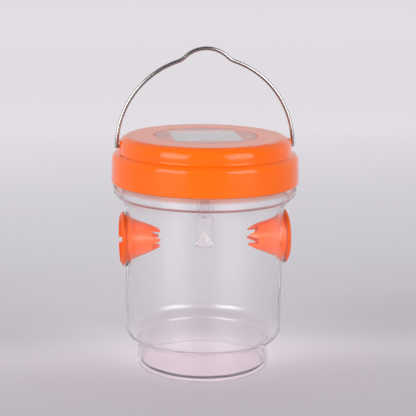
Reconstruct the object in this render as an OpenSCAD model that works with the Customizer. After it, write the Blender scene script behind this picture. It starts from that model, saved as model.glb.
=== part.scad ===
// Hanging wasp trap: a clear jar with two funnel entrances, closed by a
// screw lid that holds a solar-charged lure light and a wire bail.
// Z is up, the origin is the centre of the base, and the two funnels and the
// bail's pivots lie on the X axis. All sizes are in millimetres.

/* [Jar] */
// Outer radius of the jar's body, at the top of its straight wall
jar_r = 51.2; // [50:0.1:70]
// Height of the shoulder ring's top face, under the lid's skirt
jar_h = 120.8; // [95:0.1:170]
// Thickness of the jar's wall
jar_wall = 2; // [1.4:0.1:3]
// Radius that the body loses towards the foot, so that it leaves its mould
jar_draft = 0.7; // [0:0.1:1.5]
// How far the foot is set in from the top of the body
foot_inset = 8.4; // [5:0.1:12]
// Height of the set-in foot
foot_h = 17.8; // [8:0.1:26]
// How far the underside of the floor is raised above the foot ring
foot_rise = 1.2; // [0.6:0.1:3]
// How far the shoulder ring stands out from the body
collar_out = 7.5; // [6.5:0.1:10]
// Height of the shoulder ring's upright face
collar_h = 4.7; // [3:0.1:8]
// Width of the step from the shoulder ring's face in to the neck
collar_lip = 3.2; // [2.6:0.1:4.5]
// Height of the threaded neck above the shoulder ring
neck_h = 14.6; // [13:0.1:20]
// Thickness of the neck's wall
neck_wall = 2.2; // [1.6:0.1:3]

/* [Lid thread] */
// How far a thread ridge stands out from the neck
thread_depth = 2; // [1.4:0.1:3]
// Thickness of a ridge, and of the lug that runs under it
thread_t = 1.6; // [1:0.1:1.8]
// Rise of the thread in one full turn
thread_lead = 16; // [14:0.5:22]
// Number of thread starts round the neck
thread_starts = 4; // [3:1:4]

/* [Funnel ports] */
// How far the port centres lie below the shoulder ring's top face
port_drop = 36.8; // [36:0.1:50]
// How far the round boss round a port is wider than the funnel's flange
port_margin = 0.5; // [0.2:0.1:3]
// How far a boss's flat face stands out from the jar's radius
port_proud = 0.5; // [0.3:0.1:3]

/* [Funnels] */
// Radius of the plug that fits into the port
plug_r = 15.3; // [12.5:0.05:16]
// Length of the plug below the flange
plug_len = 3.2; // [2:0.1:5]
// How far the flange's rim is wider than the plug
flange_out = 2.2; // [1.6:0.1:2.6]
// Depth of the flange, from the boss's face to the lip
flange_h = 2.6; // [2.4:0.1:5]
// Thickness of the funnel's wall
funnel_wall = 1.3; // [0.9:0.1:1.8]
// Length of the cone from the flange to the roots of the fingers
cone_len = 17.4; // [12:0.1:22]
// Outer radius of the cone at the roots of the fingers
cone_end_r = 8.5; // [7:0.1:10]
// Length of the pointed fingers, along the funnel's axis
finger_len = 5.3; // [3:0.1:7]
// Outer radius of the ring of finger tips
finger_tip_r = 5.9; // [4.5:0.1:7]
// Number of fingers
finger_count = 6; // [5:1:7]
// Width of the slot between two fingers, at its root
slot_w = 3.8; // [2:0.1:4]
// Width of the drain notch in the flange
notch_w = 3.2; // [2:0.1:5]

/* [Lid] */
// Thickness of the lid's skirt
skirt_wall = 2; // [1.6:0.1:3]
// Height of the lower tier, from the skirt's edge to its shoulder
skirt_h = 19.8; // [19:0.1:28]
// How far the upper tier is set in from the skirt
tier_inset = 5; // [4.6:0.1:7]
// Height of the upper tier above the shoulder
tier_h = 9.65; // [9:0.05:16]
// Radius of the rounded top edge
tier_round = 6.5; // [2:0.1:7]
// Thickness of the upper tier's wall and top
shell_wall = 2.2; // [1.8:0.05:3]

/* [Solar window] */
// Radius of the clear window
window_r = 33; // [33:0.1:40]
// Thickness of the window
window_t = 1.5; // [1:0.05:1.6]
// Narrowest width of the seat that the window rests on
window_ledge = 2.5; // [1.5:0.1:2.6]
// How far the square panel's edges reach under the window's seat
panel_grip = 0.94; // [0.6:0.01:1.2]
// Number of solar cell strips on the panel
cell_count = 4; // [2:1:8]

/* [Light] */
// Radius of the clear light guide
guide_r = 6; // [5:0.1:8]
// Length of the light guide below the housing
guide_len = 49.3; // [40:0.1:60]
// Radius of the bore that the lamp hangs in
guide_bore_r = 3.2; // [3.1:0.05:4]
// Thickness of clear plastic below the bore's end
guide_tip = 19.3; // [14:0.1:24]

/* [Housing] */
// Gap between the neck and the electronics housing
housing_gap = 3.3; // [1:0.1:4]
// Thickness of the housing's floor and wall
housing_wall = 2; // [1.5:0.1:3]
// How far the housing's floor lies below the neck's rim
housing_drop = 7.4; // [7:0.1:9]

/* [Bail] */
// Diameter of the bail wire
wire_d = 2.4; // [1.6:0.1:2.6]
// Gap between the wire's bow and the upper tier
bail_gap = 0.4; // [0.35:0.05:2]
// Height of the bail's pivots above the shoulder
pivot_up = 3; // [2.4:0.1:4]
// Height of the hook hump above the bow
hump_h = 5.2; // [3:0.1:10]
// Radius of the hump's top
hump_r = 20; // [14:0.5:24]
// Radius of the two bends where the hump leaves the bow
hump_bend = 12; // [6:0.5:16]

/* [Fits] */
// Gap all round between a shaft or plug and its hole
fit_gap = 0.08; // [0.03:0.01:0.1]
// Gap between pieces that are clear of each other
air_gap = 0.4; // [0.3:0.05:0.6]

/* [Hidden] */
$fn = 96;

// Colours
orange_plastic = [1.0, 0.43, 0.08];
clear_plastic = [0.85, 0.88, 0.92, 0.35];
steel = [0.75, 0.76, 0.78];
silicone = [0.92, 0.92, 0.9];

// Jar, from the base up
foot_r = jar_r - foot_inset;
foot_edge = 1.5;
foot_ring_w = 4;
floor_z = foot_rise + jar_wall;
shoulder_r = jar_r - jar_draft - foot_r;
shoulder_z = foot_h + shoulder_r;
waist_r = 2;
waist_c = foot_r + waist_r;
waist_z = shoulder_z - sqrt(pow(shoulder_r, 2) + 2 * shoulder_r * waist_r);
waist_a = atan2(shoulder_z - waist_z, waist_r);
collar_r = jar_r + collar_out;
collar_z = jar_h - collar_h;
flare_r = 4;
flare_turn = 46;
flare_end_r = collar_r - flare_r + flare_r * cos(flare_turn);
flare_end_z = collar_z - flare_r * sin(flare_turn);
flare_foot_z = flare_end_z - (flare_end_r - jar_r) / tan(flare_turn);
flare_foot_r = 12;
neck_r = collar_r - collar_lip;
neck_in_r = neck_r - neck_wall;
rim_z = jar_h + neck_h;
inner_flare_turn = 37;
ledge_z = collar_z - 3.6;
ledge_foot_z = ledge_z - (neck_in_r - jar_r + jar_wall) / tan(inner_flare_turn);
ledge_foot_r = 10;

// Thread: the lid's lugs run under the jar's ridges
thread_z = jar_h + 9.2;
thread_pitch = thread_lead / thread_starts;
ridge_turn = 300 / thread_starts;
lug_turn = 80 / thread_starts;
lug_z = thread_z - thread_t - (thread_pitch - 2 * thread_t) * 0.375;
thread_mid_r = neck_r + thread_depth / 2;
thread_slope = atan(thread_lead / (2 * PI * thread_mid_r));

// Funnels: distances are from the jar's axis, along X
port_z = jar_h - port_drop;
port_face = jar_r + port_proud;
port_bore_r = plug_r + fit_gap;
flange_r = plug_r + flange_out;
port_boss_r = flange_r + port_margin;
lip_x = port_face + flange_h;
cone_end_x = port_face - cone_len;
finger_tip_x = cone_end_x - finger_len;
cone_slope = (plug_r - cone_end_r) / cone_len;
right_notch_angle = -65;
left_notch_angle = 195;
finger_turn = -15;

// Lid
skirt_in_r = neck_r + thread_depth + 0.5;
lid_r = skirt_in_r + skirt_wall;
skirt_z = jar_h + air_gap;
tier_z = skirt_z + skirt_h;
top_z = tier_z + tier_h;
tier_r = lid_r - tier_inset;
tier_in_r = tier_r - shell_wall;
ceiling_z = top_z - shell_wall;
skirt_edge = 0.8;
skirt_draft = 0.4;
corner_r = 4;
corner_c = lid_r - skirt_draft - corner_r;
corner_z = tier_z - corner_r - 1;
shoulder_fall = 14;
valley_r = 1.2;
valley_c = tier_r + valley_r;
valley_z = corner_z + (corner_r + valley_r - (valley_c - corner_c) * sin(shoulder_fall))
           / cos(shoulder_fall);
seal_t = 2;
seat_z = rim_z + seal_t;
seal_in_r = neck_in_r - 0.1;
seal_out_r = neck_r + 0.8;
seat_r = seal_out_r + 0.3;

// Window and panel
seat_depth = window_t + 0.05;
window_gap = 0.3;
opening_side = (window_r - window_ledge) * sqrt(2);
panel_side = opening_side + 2 * panel_grip;
panel_t = 1.6;
panel_z = ceiling_z - panel_t - 0.05;
cell_t = 0.3;
cell_span = opening_side - 0.8;
cell_gap = 0.8;
clip_w = 6;
clip_t = 1.6;
clip_lip = 1;
clip_gap = 0.15;

// Housing: a cup that hangs inside the neck
housing_r = neck_in_r - housing_gap;
housing_in_r = housing_r - housing_wall;
deck_z = rim_z - housing_drop + housing_wall;
base_z = deck_z - housing_wall;
housing_top_z = ceiling_z - 1.2;

// Screws that hold the housing up to the lid
boss_r = 3.5;
boss_ring_r = housing_in_r - boss_r - 1.5;
boss_angles = [60, 120, 240, 300];
pilot_r = 1.3;
shank_r = 1.25;
screw_hole_r = 1.7;
screw_head_r = 2.8;
screw_head_t = 1.8;
cup_r = 4.6;
cup_h = 2.2;
cup_floor_z = base_z + screw_head_t + 0.5;

// Battery: one AA cell lying along X
cell_r = 7.1;
cell_len = 49.2;
nub_r = 2.75;
nub_len = 1.2;
battery_y = 20.5;
battery_z = deck_z + cell_r + 0.4;
bay_gap = 0.5;
bay_wall = 1.5;
bay_half_w = cell_r + bay_gap;
contact_t = 0.4;
contact_side = 11;
spring_len = 4.6;
spring_wire = 0.7;
spring_turns = 3;
bay_x0 = -cell_len / 2 - spring_len - contact_t - 0.1;
bay_x1 = cell_len / 2 + nub_len + contact_t + 0.2;
bay_h = 9;
door_t = 1.6;
door_over = 3;
door_screw_x = bay_x1 + bay_wall + 4.2;
door_boss_r = 3;
door_x0 = bay_x0 - door_over;
door_x1 = door_screw_x + 3.6;

// Circuit board, over the light guide
board_x = 40;
board_y0 = -27;
board_y1 = 6;
board_t = 1.6;
board_z = deck_z + 4;
board_post_r = 2.4;
board_screw_x = board_x / 2 - 3;
board_screw_ys = [board_y0 + 3, board_y1 - 3];

// Lamp
lead_r = 0.3;
lead_pitch = 2.54;
lamp_r = 2.5;
lamp_rim_r = 2.9;
flange_t = 1.6;
guide_flange_r = guide_r + 2.6;
guide_tip_z = base_z - guide_len;
bore_end_z = guide_tip_z + guide_tip;
lamp_z = bore_end_z + 0.5 + lamp_r;
lamp_h = 6;
recess_r = guide_r - 1;
recess_h = 9.9;

// Switch on the housing's floor, with its slider out of the underside
switch_x = 30;
switch_y = -17;
switch_w = 9;
switch_d = 4.4;
switch_h = 4;
slider_w = 2.6;
slider_d = 1.8;
slider_out = 2.2;
slider_travel = 2.4;
slider_gap = 0.3;

// Bail
wire_r = wire_d / 2;
pivot_z = tier_z + pivot_up;
bow_r = tier_r + bail_gap + wire_r;
hump_c = bow_r + hump_h - hump_r;
hump_sin = (pow(bow_r + hump_bend, 2) + pow(hump_c, 2) - pow(hump_bend + hump_r, 2))
           / (2 * (bow_r + hump_bend) * hump_c);
bow_a = asin(hump_sin);
bend_x = (bow_r + hump_bend) * cos(bow_a);
bend_z = (bow_r + hump_bend) * sin(bow_a);
hump_a = atan2(bend_z - hump_c, bend_x);
pin_end = tier_in_r - 1.5;
pin_hole_r = wire_r + fit_gap;
pad_w = 9;
pad_h = 7;
pad_x = sqrt(pow(bow_r - wire_r - 0.12, 2) - pow(pad_w / 2, 2));

// Points of an arc round [c, z], from angle a0 to a1
function arc(c, z, r, a0, a1, steps = 10) =
    [for (i = [0:steps]) let (a = a0 + (a1 - a0) * i / steps) [c + r * cos(a), z + r * sin(a)]];

// A box from its lowest to its highest corner
module block(low, high) {
    translate(low) cube(high - low);
}

// An upright cylinder between two heights
module post(r, z0, z1) {
    translate([0, 0, z0]) cylinder(r = r, h = z1 - z0);
}

// A cylinder along X between two places
module bar_x(r, x0, x1) {
    translate([x0, 0, 0]) rotate([0, 90, 0]) cylinder(r = r, h = x1 - x0);
}

// A round wire swept along a list of points, with its ends square
module wire(points, r, sides = 8) {
    last = len(points) - 1;
    runs = [for (i = [0:last])
        let (run = points[min(i + 1, last)] - points[max(i - 1, 0)]) run / norm(run)];
    across = [for (run = runs)
        let (side = cross(run, abs(run[1]) > 0.9 ? [1, 0, 0] : [0, 1, 0])) side / norm(side)];
    rings = [for (i = [0:last], k = [0:sides - 1])
        let (a = 360 * k / sides)
        points[i] + r * (cos(a) * across[i] + sin(a) * cross(runs[i], across[i]))];
    walls = [for (i = [0:last - 1], k = [0:sides - 1])
        let (n = (k + 1) % sides)
        [i * sides + k, (i + 1) * sides + k, (i + 1) * sides + n, i * sides + n]];
    start = [for (k = [0:sides - 1]) k];
    end = [for (k = [sides - 1:-1:0]) last * sides + k];
    polyhedron(points = rings, faces = concat(walls, [start, end]), convexity = 6);
}

// A self-tapping screw with its head down, the head's upper face at z = 0
module screw(length, head_r, head_t, r) {
    difference() {
        union() {
            post(head_r, -head_t, 0);
            post(r, 0, length);
        }
        for (turn = [0, 90])
            rotate(turn)
                block([-head_r * 0.6, -0.35, -head_t - 1], [head_r * 0.6, 0.35, -head_t * 0.45]);
    }
}

// Places something at each of the housing's screws
module at_bosses() {
    for (a = boss_angles)
        rotate(a) translate([boss_ring_r, 0, 0]) children();
}

// Places something at each of the circuit board's screws
module at_board_screws() {
    for (side = [-1, 1], y = board_screw_ys)
        translate([side * board_screw_x, y, 0]) children();
}

// Part of a helical rib: a ring sector cut from a tilted slab
module thread_piece(r0, r1, z, turn) {
    intersection() {
        rotate(-turn / 2)
            rotate_extrude(angle = turn)
                translate([r0, z - thread_pitch])
                    square([r1 - r0, 2 * thread_pitch]);
        translate([0, 0, z])
            rotate([thread_slope, 0, 0])
                cube([3 * r1, 3 * r1, thread_t], center = true);
    }
}

// One piece of thread for each start
module thread(r0, r1, z, turn) {
    for (i = [0:thread_starts - 1])
        rotate(45 + i * 360 / thread_starts) thread_piece(r0, r1, z, turn);
}

// The jar's outside, filled in to the axis
module jar_outside() {
    rotate_extrude()
        polygon(concat(
            [[0, foot_rise], [foot_r - foot_ring_w, foot_rise],
             [foot_r - foot_ring_w + foot_rise, 0]],
            arc(foot_r - foot_edge, foot_edge, foot_edge, -90, 0, 5),
            arc(waist_c, waist_z, waist_r, 180, 180 - waist_a, 5),
            arc(foot_r, shoulder_z, shoulder_r, -waist_a, 0, 12),
            arc(jar_r + flare_foot_r, flare_foot_z - flare_foot_r * tan(flare_turn / 2),
                flare_foot_r, 180, 180 - flare_turn, 8),
            arc(collar_r - flare_r, collar_z, flare_r, -flare_turn, 0, 8),
            [[collar_r, jar_h - 0.4], [collar_r - 0.4, jar_h], [neck_r, jar_h],
             [neck_r, rim_z - 0.7], [neck_r - 0.7, rim_z], [0, rim_z]]));
}

// The room inside the jar
module jar_inside() {
    inner_r = jar_r - jar_wall;
    foot_in_r = foot_r - jar_wall;
    corner = 2;
    rotate_extrude()
        polygon(concat(
            [[0, floor_z]],
            arc(foot_in_r - corner, floor_z + corner, corner, -90, 0, 5),
            arc(waist_c, waist_z, waist_r + jar_wall, 180, 180 - waist_a, 6),
            arc(foot_r, shoulder_z, shoulder_r - jar_wall, -waist_a, 0, 10),
            arc(inner_r + ledge_foot_r, ledge_foot_z - ledge_foot_r * tan(inner_flare_turn / 2),
                ledge_foot_r, 180, 180 - inner_flare_turn, 6),
            [[neck_in_r, ledge_z],
             [neck_in_r, rim_z - 0.4], [neck_in_r + 0.4, rim_z],
             [neck_in_r + 0.4, rim_z + 1], [0, rim_z + 1]]));
}

// Clear jar with a set-in foot, two ports and a threaded neck
module jar() {
    color(clear_plastic)
        difference() {
            union() {
                jar_outside();
                for (turn = [0, 180])
                    rotate(turn) translate([0, 0, port_z])
                        bar_x(port_boss_r, jar_r * 0.8, port_face);
                thread(neck_r - 0.3, neck_r + thread_depth, thread_z, ridge_turn);
            }
            jar_inside();
            for (turn = [0, 180])
                rotate(turn) translate([0, 0, port_z])
                    bar_x(port_bore_r, jar_r * 0.6, port_face + 1);
        }
}

// The funnel's wall as a solid of revolution about X, mouth outwards
module funnel_body() {
    plug_end = port_face - plug_len;
    cone_start_x = plug_end - 1.5;
    cone_start_r = plug_r - cone_slope * (port_face - cone_start_x);
    lip = 0.45;
    throat_r = plug_r - funnel_wall;
    dish_r = throat_r + 0.9;
    rotate([0, 90, 0])
        rotate_extrude()
            polygon(concat(
                [[finger_tip_r, finger_tip_x], [cone_end_r, cone_end_x],
                 [cone_start_r, cone_start_x], [plug_r, plug_end],
                 [plug_r, port_face], [flange_r - 0.9, port_face]],
                arc(flange_r - lip, port_face + 1.2, lip, -30, 50, 6),
                arc(dish_r + 0.7, lip_x - lip, lip, 60, 190, 8),
                [[throat_r, port_face + 0.3],
                 [cone_start_r - funnel_wall, cone_start_x],
                 [cone_end_r - funnel_wall, cone_end_x],
                 [finger_tip_r - funnel_wall * 0.6, finger_tip_x]]));
}

// A funnel plug with pointed fingers, its axis along +X
module funnel(notch_angle) {
    slot_tip = (finger_tip_r - 0.4) * sin(180 / finger_count) - 0.35;
    slot_flare = (slot_tip - slot_w / 2) / finger_len;
    slot_root_x = cone_end_x + 0.3;
    rotate([notch_angle, 0, 0])
        difference() {
            funnel_body();
            for (i = [0:finger_count - 1])
                rotate([finger_turn - 90 + (i + 0.5) * 360 / finger_count, 0, 0])
                    linear_extrude(height = cone_end_r * 2)
                        polygon([[slot_root_x, -slot_w / 2], [slot_root_x, slot_w / 2],
                                 [finger_tip_x - 1, slot_tip + slot_flare],
                                 [finger_tip_x - 1, -slot_tip - slot_flare]]);
            block([port_face + 0.4, plug_r - 3, -notch_w / 2],
                  [lip_x + 1, flange_r + 1, notch_w / 2]);
        }
}

// Entrance funnel on the -X side
module funnel_left() {
    color(orange_plastic)
        translate([0, 0, port_z])
            rotate(180) funnel(left_notch_angle);
}

// Entrance funnel on the +X side
module funnel_right() {
    color(orange_plastic)
        translate([0, 0, port_z])
            funnel(right_notch_angle);
}

// Soft ring that the lid presses on the neck's rim
module lid_seal() {
    color(silicone)
        rotate_extrude()
            translate([seal_in_r, rim_z + 0.05])
                square([seal_out_r - seal_in_r, seal_t - 0.1]);
}

// The lid's outside, filled in to the axis
module lid_outside() {
    rotate_extrude()
        polygon(concat(
            [[0, skirt_z]],
            arc(lid_r - skirt_edge, skirt_z + skirt_edge, skirt_edge, -90, 0, 5),
            arc(corner_c, corner_z, corner_r, 0, 90 - shoulder_fall, 10),
            arc(valley_c, valley_z, valley_r, 270 - shoulder_fall, 180, 6),
            arc(tier_r - tier_round, top_z - tier_round, tier_round, 0, 90, 12),
            [[0, top_z]]));
}

// The room inside the lid
module lid_inside() {
    top_in_r = tier_in_r - 2.6;
    rotate_extrude()
        polygon([[0, skirt_z - 1], [skirt_in_r, skirt_z - 1],
                 [skirt_in_r, seat_z - 5], [seat_r, seat_z], [tier_in_r, seat_z],
                 [tier_in_r, ceiling_z - 2.6], [top_in_r, ceiling_z],
                 [0, ceiling_z]]);
}

// Two-tier lid with a window seat, pivot pads, screw bosses and panel clips
module lid_shell() {
    clip_x = panel_side / sqrt(2) + clip_gap;
    clip_low_z = panel_z - clip_gap - clip_lip;
    color(orange_plastic)
        difference() {
            union() {
                difference() {
                    union() {
                        lid_outside();
                        for (turn = [0, 180])
                            rotate(turn)
                                block([tier_in_r, -pad_w / 2, tier_z - 1.2],
                                      [pad_x, pad_w / 2, tier_z + pad_h]);
                    }
                    lid_inside();
                }
                thread(skirt_in_r - thread_depth, skirt_in_r + 0.3, lug_z, lug_turn);
                at_bosses()
                    post(boss_r, deck_z + cup_h + 0.1, ceiling_z + 0.5);
                for (turn = [45:90:315])
                    rotate(turn) {
                        block([clip_x, -clip_w / 2, clip_low_z],
                              [clip_x + clip_t, clip_w / 2, ceiling_z + 0.5]);
                        block([clip_x - clip_lip, -clip_w / 2, clip_low_z],
                              [clip_x + clip_t, clip_w / 2, panel_z - clip_gap]);
                    }
            }
            post(window_r + window_gap, top_z - seat_depth, top_z + 1);
            block([-opening_side / 2, -opening_side / 2, ceiling_z - 1],
                  [opening_side / 2, opening_side / 2, top_z + 1]);
            at_bosses()
                post(pilot_r, deck_z - 1, deck_z + cup_h + 11);
            for (turn = [0, 180])
                rotate(turn) translate([0, 0, pivot_z])
                    bar_x(pin_hole_r, tier_in_r - 1, bow_r);
        }
}

// Clear round window, flush with the lid's top
module solar_window() {
    edge = 0.2;
    color(clear_plastic)
        translate([0, 0, top_z - seat_depth])
            rotate_extrude()
                polygon([[0, 0], [window_r, 0], [window_r, window_t - edge],
                         [window_r - edge, window_t], [0, window_t]]);
}

// Square board that carries the solar cells
module solar_panel() {
    color([0.93, 0.93, 0.9])
        block([-panel_side / 2, -panel_side / 2, panel_z],
              [panel_side / 2, panel_side / 2, panel_z + panel_t]);
}

// Strips of solar cell on the board
module solar_cells() {
    strip = (cell_span - (cell_count - 1) * cell_gap) / cell_count;
    color([0.12, 0.13, 0.2])
        for (i = [0:cell_count - 1])
            translate([-cell_span / 2 + i * (strip + cell_gap), -cell_span / 2,
                       panel_z + panel_t])
                cube([strip, cell_span, cell_t]);
}

// Walls of the battery bay, seen from above
module bay_walls() {
    y0 = battery_y - bay_half_w;
    y1 = battery_y + bay_half_w;
    difference() {
        block([bay_x0 - bay_wall, y0 - bay_wall, deck_z - 0.1],
              [bay_x1 + bay_wall, y1 + bay_wall, deck_z + bay_h]);
        block([bay_x0, y0, deck_z - 1], [bay_x1, y1, deck_z + bay_h + 1]);
    }
}

// Cup under the lid that holds the battery, the board and the light guide
module inner_housing() {
    switch_slot = slider_w + slider_travel + 2 * slider_gap;
    color(orange_plastic)
        difference() {
            union() {
                difference() {
                    post(housing_r, base_z, housing_top_z);
                    post(housing_in_r, deck_z, housing_top_z + 1);
                }
                at_bosses() post(cup_r, deck_z - 0.1, deck_z + cup_h);
                at_board_screws() post(board_post_r, deck_z - 0.1, board_z);
                bay_walls();
                translate([door_screw_x, battery_y, 0])
                    post(door_boss_r, deck_z - 0.1, deck_z + 7);
            }
            at_bosses() {
                post(screw_head_r + 0.3, base_z - 1, cup_floor_z);
                post(screw_hole_r, base_z - 1, deck_z + cup_h + 1);
            }
            at_board_screws() post(0.85, deck_z + 0.5, board_z + 1);
            post(guide_r + 0.1, base_z - 1, deck_z + 1);
            block([bay_x0, battery_y - bay_half_w, base_z - 1],
                  [bay_x1, battery_y + bay_half_w, deck_z + 1]);
            translate([door_screw_x, battery_y, 0]) post(pilot_r, base_z - 1, deck_z + 6);
            block([switch_x - switch_slot / 2, switch_y - slider_d / 2 - 0.2, base_z - 1],
                  [switch_x + switch_slot / 2, switch_y + slider_d / 2 + 0.2, deck_z + 1]);
        }
}

// Four screws that hold the housing to the lid
module housing_screws() {
    color(steel)
        at_bosses()
            translate([0, 0, cup_floor_z])
                screw(11, screw_head_r, screw_head_t, shank_r);
}

// Cover of the battery bay, with a lip that drops into the opening
module battery_door() {
    y0 = battery_y - bay_half_w;
    y1 = battery_y + bay_half_w;
    color(orange_plastic)
        difference() {
            union() {
                block([door_x0, y0 - door_over, base_z - door_t],
                      [door_x1, y1 + door_over, base_z]);
                block([bay_x0 + 0.3, y0 + 0.3, base_z - 0.1],
                      [bay_x1 - 0.3, y1 - 0.3, deck_z - 0.3]);
            }
            translate([door_screw_x, battery_y, 0])
                post(screw_hole_r, base_z - door_t - 1, base_z + 1);
        }
}

// Screw that holds the battery door
module door_screw() {
    color(steel)
        translate([door_screw_x, battery_y, base_z - door_t])
            screw(6.5, screw_head_r, 1.4, shank_r);
}

// AA rechargeable cell
module battery_cell() {
    color([0.2, 0.5, 0.25])
        translate([0, battery_y, battery_z]) {
            bar_x(cell_r, -cell_len / 2, cell_len / 2);
            bar_x(nub_r, cell_len / 2 - 0.1, cell_len / 2 + nub_len);
        }
}

// Contact plate at the cell's nub
module battery_contact() {
    x = cell_len / 2 + nub_len;
    half = contact_side / 2;
    color(steel)
        translate([0, battery_y, battery_z])
            block([x, -half, -half], [x + contact_t, half, half]);
}

// Points along a coil round X that grows wider from x0 to x1
function coil(x0, x1, r0, r1, turns, steps) =
    [for (i = [0:steps])
        let (t = i / steps, a = 360 * turns * t, r = r0 + (r1 - r0) * t)
        [x0 + (x1 - x0) * t, r * cos(a), r * sin(a)]];

// Spring contact at the cell's flat end
module battery_spring() {
    x = -cell_len / 2;
    plate_x = x - spring_len;
    half = contact_side / 2;
    color(steel)
        translate([0, battery_y, battery_z]) {
            block([plate_x - contact_t, -half, -half], [plate_x, half, half]);
            wire(coil(x - spring_wire / 2 - 0.02, plate_x + spring_wire / 2 - 0.1, 2.6, 4.6,
                      spring_turns, 14 * spring_turns), spring_wire / 2, sides = 6);
        }
}

// Circuit board over the light guide
module circuit_board() {
    color([0.1, 0.4, 0.2])
        difference() {
            block([-board_x / 2, board_y0, board_z], [board_x / 2, board_y1, board_z + board_t]);
            at_board_screws() post(1.15, board_z - 1, board_z + board_t + 1);
            for (side = [-1, 1])
                translate([side * lead_pitch / 2, 0, 0])
                    post(lead_r + 0.1, board_z - 1, board_z + board_t + 1);
        }
}

// Charge controller, coil, capacitor and resistors on the board
module board_components() {
    z = board_z + board_t;
    color([0.15, 0.15, 0.16]) {
        block([-3, -15, z], [3, -10, z + 1.5]);
        translate([9, -13, 0]) post(2.6, z, z + 3.2);
        translate([-10, -17, 0]) post(2, z, z + 4.5);
        for (i = [0:2])
            block([8 + i * 2.4, -22, z], [9.4 + i * 2.4, -19, z + 0.6]);
    }
}

// Four screws that hold the board on its posts
module board_screws() {
    color(steel)
        at_board_screws()
            translate([0, 0, board_z + board_t])
                mirror([0, 0, 1]) screw(4.2, 1.7, 1.1, 0.8);
}

// Lure lamp on two leads, low in the light guide's bore
module uv_lamp() {
    rim_z0 = lamp_z + lamp_h;
    color([0.8, 0.75, 0.95]) {
        translate([0, 0, lamp_z]) sphere(r = lamp_r);
        post(lamp_r, lamp_z, rim_z0);
        post(lamp_rim_r, rim_z0 - 1, rim_z0);
        for (side = [-1, 1])
            translate([side * lead_pitch / 2, 0, 0])
                post(lead_r, rim_z0 - 0.5, board_z + board_t + 0.7, $fn = 24);
    }
}

// Clear rod that carries the lamp's light down into the jar
module light_guide() {
    color(clear_plastic)
        difference() {
            union() {
                post(guide_r, guide_tip_z, deck_z + 0.1);
                post(guide_flange_r, deck_z, deck_z + flange_t);
            }
            post(guide_bore_r, bore_end_z, deck_z + flange_t + 1);
            translate([0, 0, guide_tip_z - 0.01])
                cylinder(r1 = recess_r, r2 = 0.02, h = recess_h);
        }
}

// Body of the slide switch
module switch_body() {
    room = slider_travel + slider_w + 1.2;
    color([0.3, 0.3, 0.32])
        difference() {
            block([switch_x - switch_w / 2, switch_y - switch_d / 2, deck_z],
                  [switch_x + switch_w / 2, switch_y + switch_d / 2, deck_z + switch_h]);
            block([switch_x - room / 2, switch_y - slider_d / 2 - 0.5, deck_z - 1],
                  [switch_x + room / 2, switch_y + slider_d / 2 + 0.5, deck_z + 2.2]);
        }
}

// The switch's slider, at the off end of its travel
module switch_slider() {
    x = switch_x - slider_travel / 2;
    color([0.12, 0.12, 0.13]) {
        block([x - slider_w / 2, switch_y - slider_d / 2, base_z - slider_out],
              [x + slider_w / 2, switch_y + slider_d / 2, deck_z + 1.9]);
        block([x - slider_w / 2 - 0.35, switch_y - slider_d / 2 - 0.35, deck_z + 0.3],
              [x + slider_w / 2 + 0.35, switch_y + slider_d / 2 + 0.35, deck_z + 1.9]);
    }
}

// Two wires from the solar panel down to the board
module solar_wires() {
    z = board_z + board_t;
    color([0.7, 0.1, 0.1])
        for (x = [-7, -4.5])
            wire([[x, -4, z], [x, -4, z + 3], [x, -6.5, z + 5.5], [x, -6.5, panel_z]], 0.5);
}

// A battery wire from a contact's upper edge, over the bay's wall, to the board
module battery_wire(contact_x, side) {
    contact_top = battery_z + contact_side / 2;
    over_z = contact_top + 2.2;
    bay_y = battery_y - bay_half_w - bay_wall;
    y = battery_y - 3;
    wire([[contact_x, y, contact_top], [contact_x, y, over_z - 1], [contact_x, y - 1, over_z],
          [contact_x, bay_y - 1, over_z], [contact_x - side * 2, bay_y - 3, over_z - 3],
          [side * 16, 4, board_z + 5], [side * 14, 2, board_z + 3.5],
          [side * 14, 2, board_z + board_t]], 0.5);
}

// Two wires from the battery contacts to the board
module battery_wires() {
    color([0.1, 0.1, 0.12]) {
        battery_wire(bay_x1 - 0.2 - contact_t / 2, 1);
        battery_wire(bay_x0 + 0.1 + contact_t / 2, -1);
    }
}

// Part of a wire ring in the XZ plane, centred on [x, z]
module ring_part(x, z, r, a0, a1) {
    translate([x, 0, z])
        rotate([90, 0, 0])
            rotate(a0)
                rotate_extrude(angle = a1 - a0)
                    translate([r, 0]) circle(r = wire_r, $fn = 32);
}

// A ball that joins two stretches of wire where they meet
module knuckle(x, z) {
    translate([x, 0, z]) sphere(r = wire_r + 0.02, $fn = 32);
}

// Wire bail with a hook hump, its ends turned in as pivots
module bail() {
    color(steel)
        translate([0, 0, pivot_z]) {
            ring_part(0, hump_c, hump_r, hump_a, 180 - hump_a);
            for (side = [0, 1])
                mirror([side, 0, 0]) {
                    ring_part(0, 0, bow_r, 0, bow_a);
                    knuckle(bow_r * cos(bow_a), bow_r * sin(bow_a));
                    ring_part(bend_x, bend_z, hump_bend, 180 + hump_a, 180 + bow_a);
                    knuckle(hump_r * cos(hump_a), hump_c + hump_r * sin(hump_a));
                    knuckle(bow_r, 0);
                    bar_x(wire_r, pin_end, bow_r, $fn = 32);
                }
        }
}

jar();
funnel_left();
funnel_right();
lid_seal();
lid_shell();
solar_window();
solar_panel();
solar_cells();
inner_housing();
housing_screws();
battery_door();
door_screw();
battery_cell();
battery_contact();
battery_spring();
circuit_board();
board_components();
board_screws();
uv_lamp();
light_guide();
switch_body();
switch_slider();
solar_wires();
battery_wires();
bail();
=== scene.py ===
"""Looks of the hanging wasp trap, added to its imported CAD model.

Every piece keeps its CAD mesh and gets a node-based material. The camera, the
lamps, the room and the floor are made round it. Lengths are in metres, except
where a name or a comment says millimetres.
"""
import math

import bmesh
import bpy
from mathutils import Matrix, Vector


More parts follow.
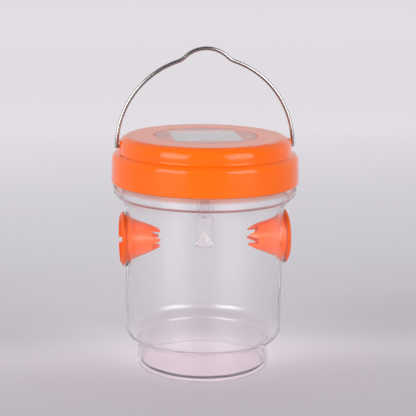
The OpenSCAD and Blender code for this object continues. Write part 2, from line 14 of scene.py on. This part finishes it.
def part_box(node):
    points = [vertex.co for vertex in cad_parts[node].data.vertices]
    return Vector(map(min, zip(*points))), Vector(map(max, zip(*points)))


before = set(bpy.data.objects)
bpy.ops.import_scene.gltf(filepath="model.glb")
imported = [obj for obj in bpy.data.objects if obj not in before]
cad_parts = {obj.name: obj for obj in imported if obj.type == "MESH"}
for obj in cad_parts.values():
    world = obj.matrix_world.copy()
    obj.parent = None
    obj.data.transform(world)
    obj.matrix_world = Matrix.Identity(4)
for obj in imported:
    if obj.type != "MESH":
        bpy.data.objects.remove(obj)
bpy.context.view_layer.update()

MM = 0.001


# ---------------------------------------------------------------- camera

CAMERA_TURN = math.radians(-8.0)  # bearing round the object
CAMERA_BACK = 0.8133  # distance from the object's axis
CAMERA_UP = 0.2764  # height above the floor
CAMERA_PITCH = math.radians(12.02)  # downwards
CAMERA_YAW = math.radians(0.155)  # to the right
CAMERA_ROLL = math.radians(0.765)
CAMERA_LENS = 111.6  # mm
CAMERA_SENSOR = 36.0  # mm


def make_camera():
    """The camera, standing where the photographer stood."""
    data = bpy.data.cameras.new("camera")
    data.lens = CAMERA_LENS
    data.sensor_width = CAMERA_SENSOR
    data.clip_start = 0.01
    camera = bpy.data.objects.new("camera", data)
    bpy.context.scene.collection.objects.link(camera)
    ahead = Vector((math.sin(CAMERA_YAW) * math.cos(CAMERA_PITCH),
                    math.cos(CAMERA_YAW) * math.cos(CAMERA_PITCH),
                    -math.sin(CAMERA_PITCH)))
    right = Vector((math.cos(CAMERA_YAW), -math.sin(CAMERA_YAW), 0.0))
    up = right.cross(ahead)
    turned_right = right * math.cos(CAMERA_ROLL) + up * math.sin(CAMERA_ROLL)
    turned_up = up * math.cos(CAMERA_ROLL) - right * math.sin(CAMERA_ROLL)
    axes = Matrix((turned_right, turned_up, -ahead)).transposed().to_4x4()
    stand = Matrix.Translation((0.0, -CAMERA_BACK, CAMERA_UP)) @ axes
    camera.matrix_world = Matrix.Rotation(CAMERA_TURN, 4, "Z") @ stand
    bpy.context.scene.camera = camera


# ---------------------------------------------------------------- node trees

class Tree:
    """A node tree, with short calls that add and join nodes."""

    def __init__(self, owner):
        owner.use_nodes = True
        self.tree = owner.node_tree

    def add(self, kind, **settings):
        """A new node with some of its settings."""
        node = self.tree.nodes.new(kind)
        for key, value in settings.items():
            setattr(node, key, value)
        return node

    def link(self, source, target):
        """Joins an output to an input."""
        self.tree.links.new(source, target)

    def split(self, vector):
        """The X, Y and Z outputs of a vector."""
        node = self.add("ShaderNodeSeparateXYZ")
        self.link(vector, node.inputs[0])
        return node.outputs

    def spread(self, source, low, high, from_low=0.3, from_high=0.7):
        """Maps a value from its usual range to low..high."""
        node = self.add("ShaderNodeMapRange")
        node.inputs["From Min"].default_value = from_low
        node.inputs["From Max"].default_value = from_high
        node.inputs["To Min"].default_value = low
        node.inputs["To Max"].default_value = high
        self.link(source, node.inputs["Value"])
        return node.outputs["Result"]


class Surface(Tree):
    """The node tree of a new material."""

    def __init__(self, name):
        self.material = bpy.data.materials.new(name)
        super().__init__(self.material)
        self.tree.nodes.clear()
        self.out = self.add("ShaderNodeOutputMaterial")

    def position(self, scale=(1.0, 1.0, 1.0)):
        """Object coordinates, stretched by scale."""
        coordinates = self.add("ShaderNodeTexCoord")
        mapping = self.add("ShaderNodeMapping")
        mapping.inputs["Scale"].default_value = scale
        self.link(coordinates.outputs["Object"], mapping.inputs["Vector"])
        return mapping.outputs["Vector"]

    def noise(self, size_mm, detail=3.0, stretch=(1.0, 1.0, 1.0)):
        """Noise whose patches are about size_mm across."""
        node = self.add("ShaderNodeTexNoise")
        node.inputs["Scale"].default_value = 1.0 / (size_mm * MM)
        node.inputs["Detail"].default_value = detail
        self.link(self.position(stretch), node.inputs["Vector"])
        return node.outputs["Fac"]

    def ramp(self, along, stops):
        """A colour that follows a length through (length, colour) stops."""
        first, last = stops[0][0], stops[-1][0]
        node = self.add("ShaderNodeValToRGB")
        marks = node.color_ramp.elements
        while len(marks) < len(stops):
            marks.new(0.5)
        for mark, (at, colour) in zip(marks, stops):
            mark.position = (at - first) / (last - first)
            mark.color = (*colour, 1.0)
        self.link(self.spread(along, 0.0, 1.0, first, last), node.inputs["Fac"])
        return node.outputs["Color"]

    def blend(self, factor, first, second):
        """A colour between two colours."""
        node = self.add("ShaderNodeMix", data_type="RGBA")
        node.inputs["A"].default_value = (*first, 1.0)
        node.inputs["B"].default_value = (*second, 1.0)
        self.link(factor, node.inputs["Factor"])
        return node.outputs["Result"]

    def bump(self, source, depth_mm, normal=None):
        """A bump of a given depth in millimetres."""
        node = self.add("ShaderNodeBump")
        node.inputs["Strength"].default_value = 1.0
        node.inputs["Distance"].default_value = depth_mm * MM
        self.link(source, node.inputs["Height"])
        if normal is not None:
            self.link(normal, node.inputs["Normal"])
        return node.outputs["Normal"]

    def principled(self, **values):
        """A Principled shader with plain values on its sockets."""
        node = self.add("ShaderNodeBsdfPrincipled")
        for key, value in values.items():
            node.inputs[key.replace("_", " ")].default_value = value
        return node

    def finish(self, shader):
        """The finished material."""
        self.link(shader, self.out.inputs["Surface"])
        return self.material


# ---------------------------------------------------------------- materials

def clear_plastic(name, haze, ior, tint, coat, painted_light_bands=()):
    """Clear moulded plastic with a faint milky haze that lets the lamps through.

    painted_light_bands are (height, tint) stops that paint light and the lid's
    reflection into the colour of thick edges.
    """
    surface = Surface(name)
    glass = surface.principled(
        IOR=ior, Base_Color=(*tint, 1.0), Transmission_Weight=1.0 - haze,
        Coat_Weight=coat, Coat_Roughness=0.32, Coat_IOR=1.5)
    if painted_light_bands:
        # painted light and reflection, laid into the colour by height
        height = surface.split(surface.position())["Z"]
        surface.link(surface.ramp(height, painted_light_bands), glass.inputs["Base Color"])
    polish = surface.spread(surface.noise(9.0), 0.03, 0.06)
    surface.link(polish, glass.inputs["Roughness"])
    flow = surface.bump(surface.noise(22.0, 1.0, (1.0, 1.0, 0.35)), 0.005)
    surface.link(flow, glass.inputs["Normal"])
    through = surface.add("ShaderNodeBsdfTransparent")
    through.inputs["Color"].default_value = (0.985, 0.985, 0.99, 1.0)
    path = surface.add("ShaderNodeLightPath")
    mix = surface.add("ShaderNodeMixShader")
    surface.link(path.outputs["Is Shadow Ray"], mix.inputs["Fac"])
    surface.link(glass.outputs["BSDF"], mix.inputs[1])
    surface.link(through.outputs["BSDF"], mix.inputs[2])
    return surface.finish(mix.outputs["Shader"])


def orange_plastic(name, light, deep):
    """Glossy moulded plastic with a faint mottle and a fine skin."""
    surface = Surface(name)
    shader = surface.principled(
        IOR=1.5, Specular_IOR_Level=0.06,
        Coat_Weight=0.7, Coat_Roughness=0.12, Coat_IOR=1.45)
    colour = surface.blend(surface.noise(16.0), light, deep)
    surface.link(colour, shader.inputs["Base Color"])
    polish = surface.spread(surface.noise(5.0), 0.2, 0.25)
    surface.link(polish, shader.inputs["Roughness"])
    skin = surface.bump(surface.noise(0.6, 2.0), 0.0008)
    waves = surface.bump(surface.noise(26.0, 1.0), 0.02, skin)
    surface.link(waves, shader.inputs["Normal"])
    return surface.finish(shader.outputs["BSDF"])


def metal(name, colour, rough):
    """Metal with a fine grain and a slightly uneven polish."""
    surface = Surface(name)
    shader = surface.principled(Metallic=1.0)
    dark = tuple(0.78 * c for c in colour)
    shade = surface.blend(surface.noise(3.0, 4.0), dark, colour)
    surface.link(shade, shader.inputs["Base Color"])
    polish = surface.spread(surface.noise(1.2, 4.0), rough * 0.75, rough * 1.35)
    surface.link(polish, shader.inputs["Roughness"])
    surface.link(surface.bump(surface.noise(0.4), 0.01), shader.inputs["Normal"])
    return surface.finish(shader.outputs["BSDF"])


def matte(name, light, deep, rough):
    """Plain plastic, rubber or lacquer with a mottled colour and a fine grain."""
    surface = Surface(name)
    shader = surface.principled(IOR=1.45)
    colour = surface.blend(surface.noise(3.0), light, deep)
    surface.link(colour, shader.inputs["Base Color"])
    polish = surface.spread(surface.noise(2.1), rough * 0.85, rough * 1.15)
    surface.link(polish, shader.inputs["Roughness"])
    surface.link(surface.bump(surface.noise(0.3), 0.02), shader.inputs["Normal"])
    return surface.finish(shader.outputs["BSDF"])


def dress(piece, material):
    """Gives a piece one material."""
    piece.data.materials.clear()
    piece.data.materials.append(material)


# ---------------------------------------------------------------- stage

FLOOR_RINGS = (0.3, 0.6, 1.0, 1.6, 2.6, 4.5, 8.0, 14.0, 24.0)  # radii
FLOOR_SEGMENTS = 64
FLOOR_THICKNESS = 0.005
FLOOR_SHARP = math.radians(32.0)  # edges sharper than this stay crisp

# The floor's colour along Y holds painted light and shade: painted shade at the
# camera's side, palest behind the object, with one painted light band where the lit
# paper starts.
FLOOR_PAINTED_SHADING = (
    (-1.2, (0.22, 0.21, 0.225)), (-0.49824, (0.40, 0.38, 0.41)),
    (-0.1188, (0.59, 0.56, 0.61)), (-0.02904, (0.67, 0.635, 0.685)),
    (0.01584, (0.77, 0.735, 0.785)), (0.06072, (0.70, 0.675, 0.725)),
    (0.15864, (0.81, 0.79, 0.845)), (0.2688, (0.81, 0.795, 0.845)),
    (0.7788, (0.77, 0.755, 0.80)), (1.08072, (0.68, 0.665, 0.705)),
    (2.88, (0.86, 0.84, 0.89)))


def make_floor_mesh():
    """A thin round slab, its top at height 0."""
    form = bmesh.new()
    turns = [2 * math.pi * i / FLOOR_SEGMENTS for i in range(FLOOR_SEGMENTS)]
    outline = [(r, 0.0) for r in FLOOR_RINGS] + [(FLOOR_RINGS[-1], -FLOOR_THICKNESS)]
    rings = [[form.verts.new((r * math.cos(a), r * math.sin(a), z)) for a in turns]
             for r, z in outline]
    top = form.verts.new((0.0, 0.0, 0.0))
    under = form.verts.new((0.0, 0.0, -FLOOR_THICKNESS))
    for i in range(FLOOR_SEGMENTS):
        j = (i + 1) % FLOOR_SEGMENTS
        form.faces.new((top, rings[0][j], rings[0][i]))
        for lower, upper in zip(rings, rings[1:]):
            form.faces.new((lower[i], lower[j], upper[j], upper[i]))
        form.faces.new((rings[-1][i], rings[-1][j], under))
    bmesh.ops.recalc_face_normals(form, faces=form.faces)
    mesh = bpy.data.meshes.new("floor")
    form.to_mesh(mesh)
    form.free()
    mesh.shade_smooth()
    mesh.set_sharp_from_angle(angle=FLOOR_SHARP)
    return mesh


def make_stage():
    """A wide pale floor that gets lighter away from the camera through painted light
    and shade and a painted shine, like a lit sweep.
    """
    floor = bpy.data.objects.new("floor", make_floor_mesh())
    bpy.context.scene.collection.objects.link(floor)
    surface = Surface("floor_paper")
    shader = surface.principled(
        Roughness=0.8, Specular_IOR_Level=0.3, Emission_Color=(0.99, 0.95, 1.0, 1.0))
    away = surface.split(surface.position())["Y"]
    surface.link(surface.ramp(away, FLOOR_PAINTED_SHADING), shader.inputs["Base Color"])
    # painted light: the floor shines by emission, more away from the camera, as if
    # lit
    painted_glow = surface.spread(away, 0.0, 0.46, 0.08, 1.03)
    surface.link(painted_glow, shader.inputs["Emission Strength"])
    surface.link(surface.bump(surface.noise(1.5), 0.01), shader.inputs["Normal"])
    dress(floor, surface.finish(shader.outputs["BSDF"]))


LAMP_AIM = Vector((0.0, 0.0, 0.1))  # near the middle of the jar


def softbox(name, place, size, watts):
    """A soft rectangular lamp that faces the middle of the object."""
    data = bpy.data.lights.new(name, "AREA")
    data.shape = "RECTANGLE"
    data.size, data.size_y = size
    data.energy = watts
    lamp = bpy.data.objects.new(name, data)
    bpy.context.scene.collection.objects.link(lamp)
    lamp.location = place
    aim = LAMP_AIM - Vector(place)
    lamp.rotation_euler = aim.to_track_quat("-Z", "Y").to_euler()


def make_room():
    """A room that is pale behind the object and darker at the camera and overhead."""
    world = bpy.data.worlds.new("room")
    bpy.context.scene.world = world
    room = Tree(world)
    back = room.tree.nodes["Background"]
    back.inputs["Color"].default_value = (1.0, 0.985, 1.0, 1.0)
    sky = room.split(room.add("ShaderNodeTexCoord").outputs["Generated"])
    level = room.add("ShaderNodeMath", operation="MULTIPLY")
    room.link(room.spread(sky["Y"], 0.22, 0.76, -0.35, 0.4), level.inputs[0])
    room.link(room.spread(sky["Z"], 1.0, 0.42, 0.3, 0.9), level.inputs[1])
    room.link(level.outputs["Value"], back.inputs["Strength"])


def make_lights():
    """A tall softbox each side of the camera, in a pale room."""
    make_room()
    softbox("softbox_left", (-0.97, -0.84, 0.53), (0.9, 1.05), 14.0)
    softbox("softbox_right", (0.8, -1.0, 0.53), (0.86, 1.05), 12.5)
    bpy.context.scene.view_settings.view_transform = "Standard"


make_camera()
make_stage()
make_lights()


# ---------------------------------------------------------------- looks

CLEAR = (0.985, 0.98, 0.985)
PAINTED_FOOT_LIGHT = (0.94, 0.89, 0.91)  # painted light: the pale pink that the foot's thick wall catches
PAINTED_LEDGE_REFLECTION = (0.42, 0.08, 0.08)  # painted reflection: the lid's dark red, as the shoulder ring's ledge shows it
PAINTED_LID_LIGHT_LOW = (0.9, 0.42, 0.34)  # painted light: the lid's colour seen through the collar, where it starts
# painted light: the lid's colour seen through the collar, up to the skirt's edge
PAINTED_LID_LIGHT = (0.95, 0.5, 0.4)

skirt_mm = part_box("lid_shell")[0].z / MM  # the lid's lower edge


def heights(*stops):
    """(millimetres, tint) stops as (metres, tint) stops."""
    return [(at * MM, tint) for at, tint in stops]


# The jar's colour by height: painted light at the foot, a painted reflection of the
# lid at the ledge, and painted light from the lid just under the skirt.
JAR_PAINTED_LIGHT_BANDS = heights(
    (0.0, PAINTED_FOOT_LIGHT), (15.0, PAINTED_FOOT_LIGHT), (26.0, CLEAR), (skirt_mm - 9.5, CLEAR),
    (skirt_mm - 9.0, PAINTED_LEDGE_REFLECTION), (skirt_mm - 8.3, PAINTED_LEDGE_REFLECTION),
    (skirt_mm - 7.8, CLEAR), (skirt_mm - 3.6, CLEAR),
    (skirt_mm - 3.2, PAINTED_LID_LIGHT_LOW), (skirt_mm - 1.4, PAINTED_LID_LIGHT), (skirt_mm, PAINTED_LID_LIGHT),
    (skirt_mm + 0.4, CLEAR))

JAR_CLEAR = clear_plastic("clear_jar", 0.007, 1.06, CLEAR, 1.0, JAR_PAINTED_LIGHT_BANDS)
GUIDE_CLEAR = clear_plastic("clear_guide", 0.01, 1.2, (0.93, 0.9, 0.91), 1.0)
ORANGE = orange_plastic("orange_moulding", (0.98, 0.15, 0.003), (0.96, 0.138, 0.0026))
FUNNEL = orange_plastic("orange_funnel", (0.9, 0.112, 0.002), (0.87, 0.1, 0.0018))
WIRE = metal("stainless_wire", (0.52, 0.51, 0.5), 0.16)
SCREW = metal("plated_steel", (0.72, 0.72, 0.74), 0.25)
WINDOW = clear_plastic("clear_window", 0.13, 1.45, (0.97, 0.94, 0.95), 0.0)
SILICONE = matte("silicone", (0.82, 0.82, 0.8), (0.74, 0.74, 0.72), 0.5)
BLACK = matte("black_moulding", (0.03, 0.03, 0.035), (0.02, 0.02, 0.022), 0.45)
BOARD = matte("solder_mask", (0.03, 0.16, 0.07), (0.02, 0.12, 0.05), 0.3)
WHITE = matte("white_board", (0.8, 0.8, 0.78), (0.72, 0.72, 0.7), 0.5)
CELL = matte("solar_cell", (0.03, 0.035, 0.07), (0.02, 0.022, 0.05), 0.15)
GREEN = matte("battery_sleeve", (0.03, 0.3, 0.08), (0.02, 0.25, 0.06), 0.3)
RED = matte("red_wire", (0.5, 0.02, 0.02), (0.42, 0.015, 0.015), 0.4)

CAD_LOOKS = {
    "jar": JAR_CLEAR, "light_guide": GUIDE_CLEAR, "solar_window": WINDOW,
    "funnel_left": FUNNEL, "funnel_right": FUNNEL, "lid_shell": ORANGE,
    "inner_housing": ORANGE, "battery_door": ORANGE, "lid_seal": SILICONE,
    "bail": WIRE, "housing_screws": SCREW, "door_screw": SCREW, "board_screws": SCREW,
    "battery_contact": SCREW, "battery_spring": SCREW, "switch_body": SCREW,
    "switch_slider": BLACK, "board_components": BLACK, "battery_wires": BLACK,
    "circuit_board": BOARD, "solar_panel": WHITE, "solar_cells": CELL,
    "battery_cell": GREEN, "solar_wires": RED, "uv_lamp": GUIDE_CLEAR,
}
for node, look in CAD_LOOKS.items():
    dress(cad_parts[node], look)
